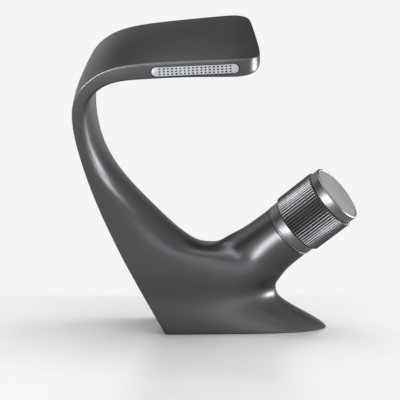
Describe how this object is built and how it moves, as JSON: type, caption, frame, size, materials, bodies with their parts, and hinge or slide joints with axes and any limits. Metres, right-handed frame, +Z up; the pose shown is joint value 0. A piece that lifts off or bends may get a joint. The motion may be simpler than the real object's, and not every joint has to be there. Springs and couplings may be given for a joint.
{
  "type": "bathroom mixer faucet",
  "caption": "Deck-mounted basin mixer: a curved body rises to a wide, flat waterfall spout, and a fluted rotary knob leans out of its side.",
  "frame": {"origin": "centre of the deck hole on the deck's top face, where the base rests", "axes": "+Z up, -Y towards the user, +X to the user's right, the side that the knob leans to"},
  "size_m": [0.1443, 0.123, 0.206],
  "materials": {
    "gunmetal": "satin dark grey plating",
    "gunmetal_face": "satin dark grey plating, turned face",
    "spray_plastic": "pale blue-grey, matt",
    "white_plastic": "natural white, matt",
    "ceramic": "lapped ceramic",
    "rubber": "black, matt",
    "brass": "machined",
    "steel": "machined"
  },
  "bodies": {
    "faucet": {"body": "gunmetal", "base_gasket": "rubber", "mounting_stud": "brass", "horseshoe_gasket": "rubber", "horseshoe_washer": "steel", "stud_nut": "brass", "cartridge_base": "white_plastic", "cartridge_o_ring": "rubber", "inlet_seal_hot": "rubber", "inlet_seal_cold": "rubber", "outlet_seal": "rubber", "fixed_disc": "ceramic", "cartridge_housing": "white_plastic", "cartridge_nut": "brass", "stop_ring": "steel", "spindle_o_ring": "rubber", "glide_washer": "white_plastic", "trim_collar": "gunmetal", "trim_gasket": "rubber", "spray_plate": "spray_plastic", "spray_gasket": "rubber", "flow_straightener": "white_plastic"},
    "knob": {"knob_sleeve": "gunmetal", "knob_cap": "gunmetal_face", "knob_insert": "white_plastic", "knob_screw": "steel", "set_screw": "steel", "spindle": "brass", "disc_carrier": "white_plastic", "moving_disc": "ceramic"}
  },
  "joints": [
    {"name": "knob_turn", "type": "hinge", "parent": "faucet", "child": "knob", "pos_m": [0, 0, 0.021], "axis": [0.7277, -0.324, 0.6046], "range_deg": [0, 100]}
  ]
}
